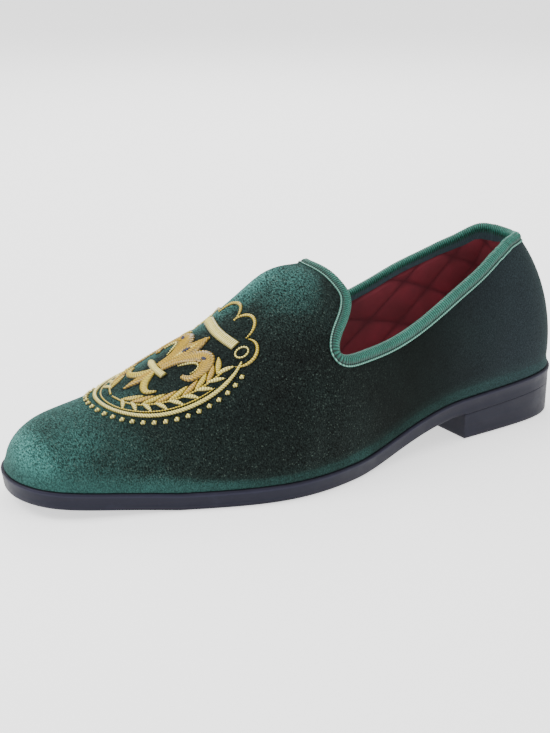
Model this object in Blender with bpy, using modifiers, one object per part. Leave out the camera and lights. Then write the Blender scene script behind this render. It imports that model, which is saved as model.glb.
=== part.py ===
"""Velvet slipper loafer, left foot, standing empty on the floor.

Frame: the toe points along -Y, the outer (lateral) side is +X, up is +Z, and the floor is z = 0.
Shapes are worked out in the shoe's own directions: along runs from the back of the heel (0) to the
toe (LENGTH), and across runs from the line between them, towards the outer side.
"""

from collections import namedtuple
import math

import bpy
import numpy as np

# Driving sizes, in metres
LENGTH = 0.295  # outsole, back of the heel to the toe
BALL_WIDTH = 0.100  # outsole across the ball of the foot
SOLE_EDGE = 0.0082  # height of the sole's edge
HEEL_HEIGHT = 0.0130  # sole above the floor at the heel breast
HEEL_PITCH = 0.0034  # how much higher the sole is at the back of the heel than at the breast
HEEL_BREAST = 0.0720  # front of the heel block, measured along the outer side
TREAD_BACK = 0.1450  # the sole lies flat on the floor from here
TREAD_FRONT = 0.2310  # to here
TOE_SPRING = 0.0062  # height of the sole's underside at the tip of the toe
WELT_LIP = 0.0024  # how far the sole stands out beyond the upper
INSTEP_HEIGHT = 0.0925  # top of the vamp above the floor
HEEL_PIVOT = 0.0440  # the heel's sections turn about an upright line here
TOE_PIVOT = 0.2550  # and the toe's about one here
WALL_SWELL = 0.0014  # how far the wall swells beyond the feather line
HEEL_SWELL = 0.0042  # and how far at the back of the heel
WALL = 0.0022  # velvet, backing and lining together
INSOLE = 0.0030  # thickness of the sock lining
INSOLE_FIT = 0.0012  # play between the insole and the wall round it
BINDING = 0.0009  # thickness of the ribbon that binds the topline
BINDING_OUTSIDE = 0.0047  # how far the ribbon comes down the outside
BINDING_INSIDE = 0.0050
GAP = 0.0003  # between pieces that touch

# Lesser sizes of the sole and the heel
SOLE_LIP = 0.0020  # height of the rounded lip at the top of the sole's edge
SOLE_LIP_STEP = 0.0004  # how far the lip stands out from the edge below it
SOLE_UNDERCUT = 0.0011  # how far the edge draws in at the floor
HEEL_INSET = 0.0006  # how far the heel block's top stands in from the outline
HEEL_TAPER = 0.0004  # how far the heel block draws in from top to floor
HEEL_BEVEL = 0.0006
BREAST_TURN = math.radians(2.5)  # the breast is square to the heel, which points outwards

# Shares and counts
TOE_ROLL = 1.1  # power of the toe spring's curve
SAMPLES = 720  # of each half of the outline
AROUND = 120  # segments round the whole shoe
UP = 12  # segments from topline to feather line
FOOT_ROWS = 0.15  # the smaller, the more of those segments lie near the feather line of the toe
LINE_LEAVE = 0.045  # how strongly the pattern's lines keep square to the topline
LINE_MEET = 0.020  # and to the feather line

# Half widths are shares of BALL_WIDTH, crest is the height of the vamp's top line above the floor
# as a share of INSTEP_HEIGHT, side is that line's place across as a share of BALL_WIDTH, and
# fullness is the power of the section's curve. Behind the throat the crest is where the walls
# would meet.
Section = namedtuple("Section", "along lateral medial crest side fullness")
SECTIONS = (
    Section(0.00, 0.000, 0.000, 1.156, 0.000, 1.72),
    Section(0.03, 0.231, 0.216, 1.169, 0.000, 1.72),
    Section(0.12, 0.330, 0.312, 1.202, 0.000, 1.74),
    Section(0.25, 0.370, 0.302, 1.245, -0.010, 1.76),
    Section(0.38, 0.428, 0.288, 1.040, -0.030, 1.86),
    Section(0.46, 0.499, 0.306, 0.975, -0.050, 1.94),
    Section(0.53, 0.559, 0.350, 0.950, -0.062, 1.95),
    Section(0.62, 0.579, 0.420, 0.754, -0.075, 1.94),
    Section(0.72, 0.506, 0.465, 0.588, -0.080, 1.95),
    Section(0.82, 0.390, 0.440, 0.447, -0.078, 2.00),
    Section(0.90, 0.316, 0.378, 0.408, -0.070, 1.95),
    Section(0.96, 0.240, 0.284, 0.378, -0.060, 1.90),
    Section(1.00, 0.000, 0.000, 0.340, -0.050, 1.85),
)

# The pattern's lines run from the topline to the feather line. foot is where a line ends on the
# feather line, as a share of LENGTH. Each side has the section its upper end lies in and the climb
# there, as a share of the way from the feather line to the crest. The last seven are the tab.
Line = namedtuple("Line", "foot lateral_along lateral_climb medial_along medial_climb")
LINES = (
    Line(0.000, 0.000, 0.620, 0.000, 0.620),
    Line(0.022, 0.025, 0.636, 0.025, 0.638),
    Line(0.062, 0.070, 0.630, 0.070, 0.624),
    Line(0.112, 0.120, 0.590, 0.120, 0.546),
    Line(0.168, 0.170, 0.500, 0.170, 0.470),
    Line(0.230, 0.228, 0.430, 0.228, 0.432),
    Line(0.305, 0.300, 0.384, 0.300, 0.418),
    Line(0.380, 0.374, 0.380, 0.374, 0.430),
    Line(0.450, 0.438, 0.396, 0.438, 0.433),
    Line(0.515, 0.482, 0.405, 0.482, 0.445),
    Line(0.582, 0.497, 0.440, 0.497, 0.478),
    Line(0.660, 0.484, 0.500, 0.488, 0.533),
    Line(0.742, 0.459, 0.565, 0.465, 0.590),
    Line(0.822, 0.441, 0.645, 0.450, 0.655),
    Line(0.900, 0.442, 0.740, 0.447, 0.755),
    Line(0.962, 0.450, 0.860, 0.453, 0.872),
    Line(1.000, 0.460, 1.000, 0.460, 1.000),
)

# Each ring of the sole's edge: how far it draws in, and its height as a share of SOLE_EDGE
LIP_FOOT = 1 - SOLE_LIP / SOLE_EDGE
SOLE_RINGS = (
    (SOLE_UNDERCUT + 0.0006, 0.0),
    (SOLE_UNDERCUT, 0.06),
    (SOLE_UNDERCUT * 0.6, 0.35),
    (SOLE_LIP_STEP, LIP_FOOT - 0.03),
    (SOLE_LIP_STEP * 0.1, LIP_FOOT + 0.05),
    (SOLE_LIP_STEP * 0.1, 0.93),
    (SOLE_LIP_STEP * 1.6, 1.0),
)
HEEL_RINGS = (
    (HEEL_INSET + HEEL_TAPER + HEEL_BEVEL, 0.0),
    (HEEL_INSET + HEEL_TAPER, 0.045),
    (HEEL_INSET + HEEL_TAPER * 0.6, 0.30),
    (HEEL_INSET, 0.96),
    (HEEL_INSET + HEEL_BEVEL * 0.5, 1.0),
)


def natural_spline(knots, values, at):
    """The natural cubic spline through values at knots, read at the points at."""
    knots = np.asarray(knots, float)
    values = np.asarray(values, float)
    step = np.diff(knots)
    rise = np.diff(values) / step
    count = len(knots)
    system = np.eye(count)
    right = np.zeros(count)
    for i in range(1, count - 1):
        system[i, i - 1 : i + 2] = step[i - 1], 2 * (step[i - 1] + step[i]), step[i]
        right[i] = 6 * (rise[i] - rise[i - 1])
    bend = np.linalg.solve(system, right)
    at = np.asarray(at, float)
    i = np.clip(np.searchsorted(knots, at) - 1, 0, count - 2)
    back = (knots[i + 1] - at) / step[i]
    ahead = (at - knots[i]) / step[i]
    curve = (back**3 - back) * bend[i] + (ahead**3 - ahead) * bend[i + 1]
    return back * values[i] + ahead * values[i + 1] + curve * step[i] ** 2 / 6


def turn_of(share):
    """The angle that stands for a share of the length, so that both ends come out round."""
    return np.arccos(1 - 2 * np.asarray(share, float))


def column(name, turn):
    """A column of SECTIONS as a smooth curve, read at the angles turn."""
    knots = turn_of([row.along for row in SECTIONS])
    return natural_spline(knots, [getattr(row, name) for row in SECTIONS], turn)


def underside(along):
    """Height of the sole's underside above the floor."""
    along = np.asarray(along, float)
    pitch = HEEL_PITCH / HEEL_BREAST
    heel = HEEL_HEIGHT + pitch * (HEEL_BREAST - along)
    span = TREAD_BACK - HEEL_BREAST
    t = np.clip((along - HEEL_BREAST) / span, 0, 1)
    waist = HEEL_HEIGHT * (2 * t**3 - 3 * t**2 + 1) - pitch * span * t * (1 - t) ** 2
    t = np.clip((along - TREAD_FRONT) / (LENGTH - TREAD_FRONT), 0, None)
    return np.where(along < HEEL_BREAST, heel, waist + TOE_SPRING * t**TOE_ROLL)


def half_outline(sign, inset):
    """The sole's outline on one side, from heel to toe, drawn in by inset: along, across."""
    turn = np.linspace(0, math.pi, SAMPLES + 1)
    along = LENGTH * (1 - np.cos(turn)) / 2
    width = BALL_WIDTH * column("lateral" if sign > 0 else "medial", turn)
    width[[0, -1]] = 0
    forward = np.gradient(along)
    outward = np.gradient(width)
    forward[[0, -1]] = 0
    run = np.hypot(forward, outward)
    return along + inset * outward / run, sign * (width - inset * forward / run)


# The frame's middle across the shoe, so that the origin lies under the middle of its box
MIDDLE = (half_outline(1, 0)[1].max() + half_outline(-1, 0)[1].min()) / 2


def place(along, across, height):
    """Points in the frame, from places along, across and above the shoe."""
    along, across, height = np.broadcast_arrays(along, across, height)
    return np.stack([across - MIDDLE, LENGTH / 2 - along, height], -1)


class Half:
    """One side of the upper, as a curved skin over a flat pattern.

    The pattern is a plan of the shoe with its centre line straightened. A point of it has a place
    along and a distance from the centre line, and the wall is laid out flat between them.
    """

    def __init__(self, sign):
        self.sign = sign
        self.turn = np.linspace(0, math.pi, SAMPLES + 1)
        self.along, self.across = half_outline(sign, WELT_LIP)
        level = turn_of(np.minimum(self.along, TOE_PIVOT) / LENGTH)
        self.centre = BALL_WIDTH * column("side", level)
        self.crest = INSTEP_HEIGHT * column("crest", level)
        to_tip = (self.along - TOE_PIVOT) / (self.along[-1] - TOE_PIVOT)
        self.width = np.abs(self.across - self.centre * (1 - np.clip(to_tip, 0, 1)))
        self.reach = np.hypot(self.along - self.root(self.along), self.width)
        self.bearing = self.bearing_of(self.along, self.width)
        self.fullness = column("fullness", self.turn)
        behind = 1 - np.clip(self.along / (2 * HEEL_PIVOT), 0, 1)
        self.swell = WALL_SWELL + (HEEL_SWELL - WALL_SWELL) * behind

    @staticmethod
    def root(along):
        """Where on the centre line the section through a place along stands."""
        return np.clip(along, HEEL_PIVOT, TOE_PIVOT)

    @staticmethod
    def bearing_of(along, width):
        """A number that names a section: it turns round the heel, runs along, and turns at the toe."""
        heel = np.arctan2(np.minimum(along - HEEL_PIVOT, 0), width)
        toe = np.arctan2(np.maximum(along - TOE_PIVOT, 0), width)
        return heel + toe + np.clip(along, HEEL_PIVOT, TOE_PIVOT) / LENGTH

    def pattern(self, turn, climb):
        """Points of the pattern, from the angles of their sections and their climbs."""
        along = np.interp(turn, self.turn, self.along)
        width = np.interp(turn, self.turn, self.width)
        root = self.root(along)
        flat = 1 - np.asarray(climb, float)
        return np.stack([root + (along - root) * flat, self.sign * width * flat], -1)

    def skin(self, points):
        """The upper's outer surface over points of the pattern."""
        along = points[..., 0]
        distance = np.abs(points[..., 1])
        bearing = self.bearing_of(along, distance)

        def read(values):
            return np.interp(bearing, self.bearing, values)

        reach = np.maximum(read(self.reach), 1e-9)
        out = np.hypot(along - self.root(along), distance) / reach
        rise = (1 - np.clip(out, 0, 1)) * math.pi / 2
        power = 2 / read(self.fullness)
        swell = 2.6 * read(self.swell) * np.sin(rise) * np.cos(rise) ** 2
        span = np.cos(rise) ** power + swell / np.maximum(reach, BALL_WIDTH / 6)
        foot = read(self.along)
        root = self.root(foot)
        base = underside(foot) + SOLE_EDGE + GAP
        return place(
            root + (foot - root) * span,
            read(self.centre) + read(self.across - self.centre) * span,
            base + (read(self.crest) - base) * np.sin(rise) ** power,
        )


HALVES = {1: Half(1), -1: Half(-1)}


def skin(points):
    """The upper's outer surface over points of the pattern, on both sides."""
    lateral = points[..., 1:] >= 0
    return np.where(lateral, HALVES[1].skin(points), HALVES[-1].skin(points))


def skin_slopes(points):
    """How that surface moves per step along and per step across in the pattern, and its normal."""
    step = 0.0004
    forward = (skin(points + (step, 0)) - skin(points - (step, 0))) / (2 * step)
    sideways = (skin(points + (0, step)) - skin(points - (0, step))) / (2 * step)
    normal = np.cross(forward, sideways)
    return forward, sideways, normal / np.linalg.norm(normal, axis=-1, keepdims=True)


def away_from(loop):
    """Steps in the pattern that lead straight out of a closed loop, per metre of the surface."""
    forward, sideways, normal = skin_slopes(loop)
    ahead = np.roll(skin(loop), -1, axis=0) - np.roll(skin(loop), 1, axis=0)
    out = np.cross(normal, ahead)
    out /= np.linalg.norm(out, axis=-1, keepdims=True)
    slopes = np.stack([forward, sideways], -1)
    steps = np.linalg.solve(
        np.einsum("nki,nkj->nij", slopes, slopes), np.einsum("nki,nk->ni", slopes, out)[..., None]
    )
    return steps[..., 0], out


def topline_and_feather():
    """Matching points of the topline and the feather line in the pattern, once round."""
    last = len(LINES) - 1
    at = np.arange(AROUND // 2 + 1) * 2 * last / AROUND
    feet = natural_spline(np.arange(last + 1), turn_of([row.foot for row in LINES]), at)
    turns, flats = {}, {}
    for sign, side in ((1, "lateral"), (-1, "medial")):
        turns[sign] = turn_of([getattr(row, side + "_along") for row in LINES])
        flats[sign] = 1 - np.array([getattr(row, side + "_climb") for row in LINES])
    loops = []
    for sign in (1, -1):
        # Each side's curve runs on into the other side: beyond the heel's back the turn changes
        # its sign, and beyond the middle of the tab the distance from the crest does
        knots = np.arange(-last, 2 * last + 1)
        around = np.concatenate([-turns[-sign][:0:-1], turns[sign], turns[-sign][-2::-1]])
        down = np.concatenate([flats[-sign][:0:-1], flats[sign], -flats[-sign][-2::-1]])
        turn = natural_spline(knots, around, at)
        climb = 1 - natural_spline(knots, down, at)
        half = HALVES[sign]
        loops.append((half.pattern(turn, climb), half.pattern(feet, 0)))
    (outer_top, outer_foot), (inner_top, inner_foot) = loops
    top = np.vstack([outer_top, inner_top[-2:0:-1]])
    return top, np.vstack([outer_foot, inner_foot[-2:0:-1]])


def pattern_lines(top, foot, fall):
    """Points at the shares fall of lines that leave the topline and meet the feather line squarely."""
    steps = away_from(top)[0]
    leave = sum(np.roll(steps, shift, axis=0) for shift in range(-3, 4)) / 7 * LINE_LEAVE
    root = np.stack([Half.root(foot[:, 0]), np.zeros(len(foot))], -1)
    meet = (foot - root) / np.linalg.norm(foot - root, axis=-1, keepdims=True) * LINE_MEET
    start = top * (1 - fall) ** 2 * (1 + 2 * fall) + leave * fall * (1 - fall) ** 2
    return start + foot * fall**2 * (3 - 2 * fall) - meet * fall**2 * (1 - fall)


def strip_faces(rows, count):
    """Faces between closed rows of count points each."""
    faces = []
    for row in range(rows - 1):
        for i in range(count):
            after = (i + 1) % count
            low, high = row * count, (row + 1) * count
            faces.append((low + i, high + i, high + after, low + after))
    return faces


def ladder_faces(first, count):
    """Faces across a loop that starts at one end of the shoe and passes the other half way."""
    half = count // 2
    rungs = [(first + i, first + (count - i) % count) for i in range(half + 1)]
    faces = []
    for (a, b), (c, d) in zip(rungs, rungs[1:]):
        corners = (a, c, d, b)
        faces.append(tuple(dict.fromkeys(corners)))
    return faces


def add_piece(name, points, faces, colour, roughness, smooth_angle=40):
    """A new object in the shoe's collection, with a plain material of its own."""
    mesh = bpy.data.meshes.new(name)
    mesh.from_pydata([tuple(point) for point in points], [], faces)
    mesh.polygons.foreach_set("use_smooth", [True] * len(faces))
    mesh.set_sharp_from_angle(angle=math.radians(smooth_angle))
    material = bpy.data.materials.new(name)
    material.use_nodes = True
    shader = material.node_tree.nodes["Principled BSDF"]
    shader.inputs["Base Color"].default_value = (*colour, 1)
    shader.inputs["Roughness"].default_value = roughness
    shader.inputs["Metallic"].default_value = 0
    mesh.materials.append(material)
    piece = bpy.data.objects.new(name, mesh)
    shoe.objects.link(piece)
    return piece


def thicken(piece, thickness, offset):
    """Give an open surface its thickness, on the inner side (-1) or the outer side (1)."""
    solid = piece.modifiers.new("thickness", "SOLIDIFY")
    solid.thickness = thickness
    solid.offset = offset


def outline_loop(inset, steps):
    """The sole's outline as a closed loop, steps segments on each side: along, across."""
    keep = np.linspace(0, SAMPLES, steps + 1).astype(int)
    outer = np.stack(half_outline(1, inset), -1)[keep]
    inner = np.stack(half_outline(-1, inset), -1)[keep]
    return np.vstack([outer, inner[-2:0:-1]])


def build_outsole():
    """The sole: rings up its edge, closed below and above by faces that run straight across."""
    steps = 60
    rings = []
    for inset, share in SOLE_RINGS:
        loop = outline_loop(inset, steps)
        height = underside(loop[:, 0]) + share * SOLE_EDGE
        rings.append(place(loop[:, 0], loop[:, 1], height))
    count = len(rings[0])
    faces = strip_faces(len(rings), count)
    faces += ladder_faces(0, count)
    faces += [face[::-1] for face in ladder_faces((len(rings) - 1) * count, count)]
    return add_piece("outsole", np.vstack(rings), faces, (0.045, 0.043, 0.052), 0.55)


def heel_loop(inset):
    """The heel's outline as a closed loop from the back, with its straight breast: along, across."""
    outermost = np.interp(HEEL_BREAST, *half_outline(1, inset))
    sides = []
    for sign in (1, -1):
        along, across = half_outline(sign, inset)
        lean = (outermost - np.interp(HEEL_BREAST, along, across)) * math.tan(BREAST_TURN)
        share = 1 - np.cos(np.linspace(0, math.pi / 2, 19))
        stops = along[0] + (HEEL_BREAST - inset + lean - along[0]) * share
        sides.append(np.stack([stops, np.interp(stops, along, across)], -1))
    breast = np.linspace(sides[0][-1], sides[1][-1], 9)[1:-1]
    return np.vstack([sides[0], breast, sides[1][:0:-1]])


def build_heel():
    """The heel block, from just under the sole to the floor."""
    rings = []
    for inset, share in HEEL_RINGS:
        loop = heel_loop(inset)
        top = HEEL_HEIGHT + HEEL_PITCH * (1 - loop[:, 0] / HEEL_BREAST) - GAP
        rings.append(place(loop[:, 0], loop[:, 1], top * share))
    count = len(rings[0])
    faces = strip_faces(len(rings), count)
    faces.append(tuple(range(count)))
    faces.append(tuple(range((len(rings) - 1) * count, len(rings) * count))[::-1])
    return add_piece("heel", np.vstack(rings), faces, (0.040, 0.038, 0.046), 0.6)


def build_upper():
    """The velvet upper, as an open skin from topline to feather line, thickened inwards."""
    top, foot = topline_and_feather()
    crowding = 1 + np.linalg.norm(top - foot, axis=-1, keepdims=True) / FOOT_ROWS
    fall = 1 - np.linspace(1, 0, UP + 1)[:, None, None] ** crowding
    points = skin(pattern_lines(top, foot, fall))
    faces = [face[::-1] for face in strip_faces(UP + 1, AROUND)]
    piece = add_piece("upper", points.reshape(-1, 3), faces, (0.012, 0.035, 0.032), 0.8)
    thicken(piece, WALL, -1)
    return piece


def build_binding():
    """The ribbon folded over the topline, as an open surface thickened outwards."""
    top, _ = topline_and_feather()
    steps, down = away_from(top)
    edge = top + steps * BINDING_OUTSIDE
    rim = top + steps * BINDING_INSIDE
    normal = skin_slopes(top)[2]
    rows = [skin(edge) + skin_slopes(edge)[2] * GAP, skin(top) + normal * GAP]
    for depth in (0.2, 0.8):
        rows.append(skin(top) - normal * WALL * depth - down * GAP * 1.3)
    rows.append(skin(top) - normal * (WALL + GAP))
    rows.append(skin(rim) - skin_slopes(rim)[2] * (WALL + GAP))
    faces = strip_faces(len(rows), AROUND)
    piece = add_piece("topline_binding", np.vstack(rows), faces, (0.03, 0.20, 0.15), 0.6, 80)
    thicken(piece, BINDING, 1)
    return piece


def build_insole():
    """The sock lining, a thin pad on the sole inside the upper."""
    rings = []
    for inset, height in ((0.0, 0.0), (0.0, 0.6), (0.0012, 1.0)):
        loop = outline_loop(WELT_LIP + WALL + INSOLE_FIT + inset, 40)
        base = underside(loop[:, 0]) + SOLE_EDGE + GAP
        rings.append(place(loop[:, 0], loop[:, 1], base + height * INSOLE))
    count = len(rings[0])
    faces = strip_faces(len(rings), count)
    faces += ladder_faces(0, count)
    faces += [face[::-1] for face in ladder_faces((len(rings) - 1) * count, count)]
    return add_piece("insole", np.vstack(rings), faces, (0.16, 0.012, 0.02), 0.5)


for leftover in list(bpy.data.objects):
    bpy.data.objects.remove(leftover)
shoe = bpy.data.collections.new("velvet_slipper_loafer")
bpy.context.scene.collection.children.link(shoe)

build_outsole()
build_heel()
build_upper()
build_binding()
build_insole()
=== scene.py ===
import math

import bpy
import numpy as np
from mathutils import Matrix, Vector


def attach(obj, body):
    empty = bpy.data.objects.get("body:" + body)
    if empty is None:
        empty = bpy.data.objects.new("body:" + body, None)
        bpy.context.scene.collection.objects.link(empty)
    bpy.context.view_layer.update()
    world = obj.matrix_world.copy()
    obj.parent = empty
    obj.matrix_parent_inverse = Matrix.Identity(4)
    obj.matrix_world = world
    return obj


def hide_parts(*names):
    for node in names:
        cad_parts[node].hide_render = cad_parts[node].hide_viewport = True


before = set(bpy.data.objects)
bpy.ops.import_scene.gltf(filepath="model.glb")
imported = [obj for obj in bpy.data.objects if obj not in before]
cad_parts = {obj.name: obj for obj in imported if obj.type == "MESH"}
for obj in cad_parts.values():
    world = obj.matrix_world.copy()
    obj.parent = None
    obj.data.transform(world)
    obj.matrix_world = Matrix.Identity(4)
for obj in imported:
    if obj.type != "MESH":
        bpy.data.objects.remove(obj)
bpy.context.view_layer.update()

# The last the slipper is drawn over. Lengths in metres, toe towards -Y, outer side +X.
shoe = {
    "length": 0.295,
    "ballWidth": 0.100,
    "soleEdge": 0.0082,
    "heelHeight": 0.0130,
    "heelPitch": 0.0034,
    "heelBreast": 0.0720,
    "treadBack": 0.1450,
    "treadFront": 0.2310,
    "toeSpring": 0.0062,
    "toeRoll": 1.1,
    "lip": 0.0024,
    "instep": 0.0925,
    "heelPivot": 0.0440,
    "toePivot": 0.2550,
    "wallSwell": 0.0014,
    "heelSwell": 0.0042,
    "wall": 0.0022,
    "gap": 0.0003,
    "samples": 720,
    # how far round a fan's centre line the skin is averaged, and over what reach
    "easeWide": 0.011,
    "easeReach": 0.010,
    # pull of the pattern lines where they leave the topline and where they meet the feather line
    "leaveTop": 0.045,
    "meetFoot": 0.020,
    # centre of the badge on the vamp
    "badgeAlong": 0.2125,
    "badgeAcross": 0.0046,
}

# Sections of the last: share of the length, half widths as shares of the ball width, height of the
# vamp's top line as a share of the instep, that line's place across, and how full the section is
sections = {
    "along": [0, 0.03, 0.12, 0.25, 0.38, 0.46, 0.53, 0.62, 0.72, 0.82, 0.90, 0.96, 1],
    "lateral": [0, 0.231, 0.330, 0.370, 0.428, 0.499, 0.559, 0.579, 0.506, 0.390, 0.316, 0.240, 0],
    "medial": [0, 0.216, 0.312, 0.302, 0.288, 0.306, 0.350, 0.420, 0.465, 0.440, 0.378, 0.284, 0],
    "crest": [1.156, 1.169, 1.202, 1.245, 1.04, 0.975, 0.95, 0.754, 0.588, 0.447, 0.408, 0.378, 0.34],
    "side": [0, 0, 0, -0.01, -0.03, -0.05, -0.062, -0.075, -0.08, -0.078, -0.07, -0.06, -0.05],
    "fullness": [1.72, 1.72, 1.74, 1.76, 1.86, 1.94, 1.95, 1.94, 1.95, 2.0, 1.95, 1.90, 1.85],
}

# The topline, from the back of the heel to the middle of the tab: where each pattern line meets the
# feather line, then the section and the climb of its upper end on the outer and the inner side
topline = {
    "foot": [0, 0.022, 0.062, 0.112, 0.168, 0.230, 0.305, 0.380, 0.450, 0.515, 0.582, 0.660, 0.742,
             0.822, 0.900, 0.962, 1],
    "lateralAlong": [0, 0.025, 0.070, 0.120, 0.170, 0.228, 0.300, 0.374, 0.438, 0.482, 0.497, 0.484,
                     0.459, 0.441, 0.442, 0.450, 0.460],
    "lateralClimb": [0.620, 0.636, 0.630, 0.590, 0.500, 0.430, 0.384, 0.380, 0.396, 0.405, 0.440,
                     0.500, 0.565, 0.645, 0.740, 0.860, 1],
    "medialAlong": [0, 0.025, 0.070, 0.120, 0.170, 0.228, 0.300, 0.374, 0.438, 0.482, 0.497, 0.488,
                    0.465, 0.450, 0.447, 0.453, 0.460],
    "medialClimb": [0.620, 0.638, 0.624, 0.546, 0.470, 0.432, 0.418, 0.430, 0.433, 0.445, 0.478,
                    0.533, 0.590, 0.655, 0.755, 0.872, 1],
    # where the heel's fan begins, as a share of a lap, and how much of the lap is eased there
    "easeAt": 0.115,
    "easeWide": 0.045,
    "samples": 1600,
}


# Natural cubic spline: solve for the bends at the knots, then blend the two knots either side
def naturalSpline(knots, values, at):
    knots, values, at = (np.asarray(a, float) for a in (knots, values, at))
    step = np.diff(knots)
    rise = np.diff(values) / step
    n = len(knots)
    system = np.eye(n)
    inner = np.arange(1, n - 1)
    system[inner, inner - 1] = step[:-1]
    system[inner, inner] = 2 * (step[:-1] + step[1:])
    system[inner, inner + 1] = step[1:]
    bend = np.linalg.solve(system, np.concatenate([[0], 6 * np.diff(rise), [0]]))
    i = np.clip(np.searchsorted(knots, at) - 1, 0, n - 2)
    back = (knots[i + 1] - at) / step[i]
    ahead = (at - knots[i]) / step[i]
    curve = (back**3 - back) * bend[i] + (ahead**3 - ahead) * bend[i + 1]
    return back * values[i] + ahead * values[i + 1] + curve * step[i] ** 2 / 6


# A share of the length as the angle whose (1 - cos) / 2 it is, so both ends come out round
def turnOf(share):
    return np.arccos(1 - 2 * np.asarray(share, float))


def column(name, turn):
    return naturalSpline(turnOf(sections["along"]), sections[name], turn)


# 0 below low, 1 above high, an S between
def smooth(value, low, high):
    t = np.clip((value - low) / (high - low), 0, 1)
    return t * t * (3 - 2 * t)


# Underside of the sole: a straight pitch under the heel, an S through the waist, a power at the toe
def underside(along):
    pitch = shoe["heelPitch"] / shoe["heelBreast"]
    heel = shoe["heelHeight"] + pitch * (shoe["heelBreast"] - along)
    span = shoe["treadBack"] - shoe["heelBreast"]
    t = np.clip((along - shoe["heelBreast"]) / span, 0, 1)
    waist = shoe["heelHeight"] * (2 * t**3 - 3 * t**2 + 1) - pitch * span * t * (1 - t) ** 2
    t = np.clip((along - shoe["treadFront"]) / (shoe["length"] - shoe["treadFront"]), 0, None)
    return np.where(along < shoe["heelBreast"], heel, waist + shoe["toeSpring"] * t ** shoe["toeRoll"])


# One side of the sole's outline, moved in along its normal by inset
def halfOutline(sign, inset):
    turn = np.linspace(0, math.pi, shoe["samples"] + 1)
    along = shoe["length"] * (1 - np.cos(turn)) / 2
    width = shoe["ballWidth"] * column("lateral" if sign > 0 else "medial", turn)
    width[[0, -1]] = 0
    forward, outward = np.gradient(along), np.gradient(width)
    forward[[0, -1]] = 0
    run = np.hypot(forward, outward)
    return along + inset * outward / run, sign * (width - inset * forward / run)


middle = (halfOutline(1, 0)[1].max() + halfOutline(-1, 0)[1].min()) / 2


def place(along, across, height):
    along, across, height = np.broadcast_arrays(along, across, height)
    return np.stack([across - middle, shoe["length"] / 2 - along, height], -1)


def rootOf(along):
    return np.clip(along, shoe["heelPivot"], shoe["toePivot"])


# Names a section by one number: an angle round the heel, a run along the foot, an angle at the toe
def bearingOf(along, width):
    heel = np.arctan2(np.minimum(along - shoe["heelPivot"], 0), width)
    toe = np.arctan2(np.maximum(along - shoe["toePivot"], 0), width)
    return heel + toe + rootOf(along) / shoe["length"]


def makeHalf(sign):
    turn = np.linspace(0, math.pi, shoe["samples"] + 1)
    along, across = halfOutline(sign, shoe["lip"])
    level = turnOf(np.minimum(along, shoe["toePivot"]) / shoe["length"])
    centre = shoe["ballWidth"] * column("side", level)
    toTip = (along - shoe["toePivot"]) / (along[-1] - shoe["toePivot"])
    width = np.abs(across - centre * (1 - np.clip(toTip, 0, 1)))
    behind = 1 - np.clip(along / (2 * shoe["heelPivot"]), 0, 1)
    return {
        "sign": sign,
        "turn": turn,
        "along": along,
        "across": across,
        "centre": centre,
        "width": width,
        "crest": shoe["instep"] * column("crest", level),
        "fullness": column("fullness", turn),
        "swell": shoe["wallSwell"] + (shoe["heelSwell"] - shoe["wallSwell"]) * behind,
        "reach": np.hypot(along - rootOf(along), width),
        "bearing": bearingOf(along, width),
    }


halves = {1: makeHalf(1), -1: makeHalf(-1)}


# A point of the flat pattern (along, distance from the centre line) on the wall: the share of the
# way out to the feather line is an angle of a superellipse, and its sine and cosine are the climb
# to the top line and the reach out from it, plus a swell low on the wall
def halfSkin(half, points):
    along, distance = points[..., 0], np.abs(points[..., 1])
    bearing = bearingOf(along, distance)

    def read(values):
        return np.interp(bearing, half["bearing"], values)

    reach = np.maximum(read(half["reach"]), 1e-9)
    out = np.hypot(along - rootOf(along), distance) / reach
    rise = (1 - np.clip(out, 0, 1)) * math.pi / 2
    power = 2 / read(half["fullness"])
    swell = 2.6 * read(half["swell"]) * np.sin(rise) * np.cos(rise) ** 2
    span = np.cos(rise) ** power + swell / np.maximum(reach, shoe["ballWidth"] / 6)
    foot = read(half["along"])
    root = rootOf(foot)
    base = underside(foot) + shoe["soleEdge"] + shoe["gap"]
    return place(
        root + (foot - root) * span,
        read(half["centre"]) + read(half["across"] - half["centre"]) * span,
        base + (read(half["crest"]) - base) * np.sin(rise) ** power,
    )


# The whole skin. Where the fanned sections of the heel and toe meet the straight ones the plain
# skin has a slight crease, so there it is averaged over a few points fore and aft
def skin(points):
    points = np.asarray(points, float)
    plain = np.where(points[..., 1:] >= 0, halfSkin(halves[1], points), halfSkin(halves[-1], points))
    along = points[..., 0]
    pivots = (shoe["heelPivot"], shoe["toePivot"])
    near = sum(np.exp(-(((along - pivot) / shoe["easeWide"]) ** 2)) for pivot in pivots)
    close = near > 0.004
    few, shift = points[close], near[close] * shoe["easeReach"]
    total = 0
    for move, weight in ((-1, 1), (-0.5, 4), (0, 6), (0.5, 4), (1, 1)):
        moved = np.stack([few[:, 0] + shift * move, few[:, 1]], -1)
        half = np.where(few[:, 1:] >= 0, halfSkin(halves[1], moved), halfSkin(halves[-1], moved))
        total = total + half * weight / 16
    plain[close] = total
    return plain


# Slopes of the skin per metre of the pattern, by central differences, and the outward normal
def skinSlopes(points, step=0.0004):
    forward = (skin(points + (step, 0)) - skin(points - (step, 0))) / (2 * step)
    sideways = (skin(points + (0, step)) - skin(points - (0, step))) / (2 * step)
    normal = np.cross(forward, sideways)
    return forward, sideways, normal / np.linalg.norm(normal, axis=-1, keepdims=True)


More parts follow.
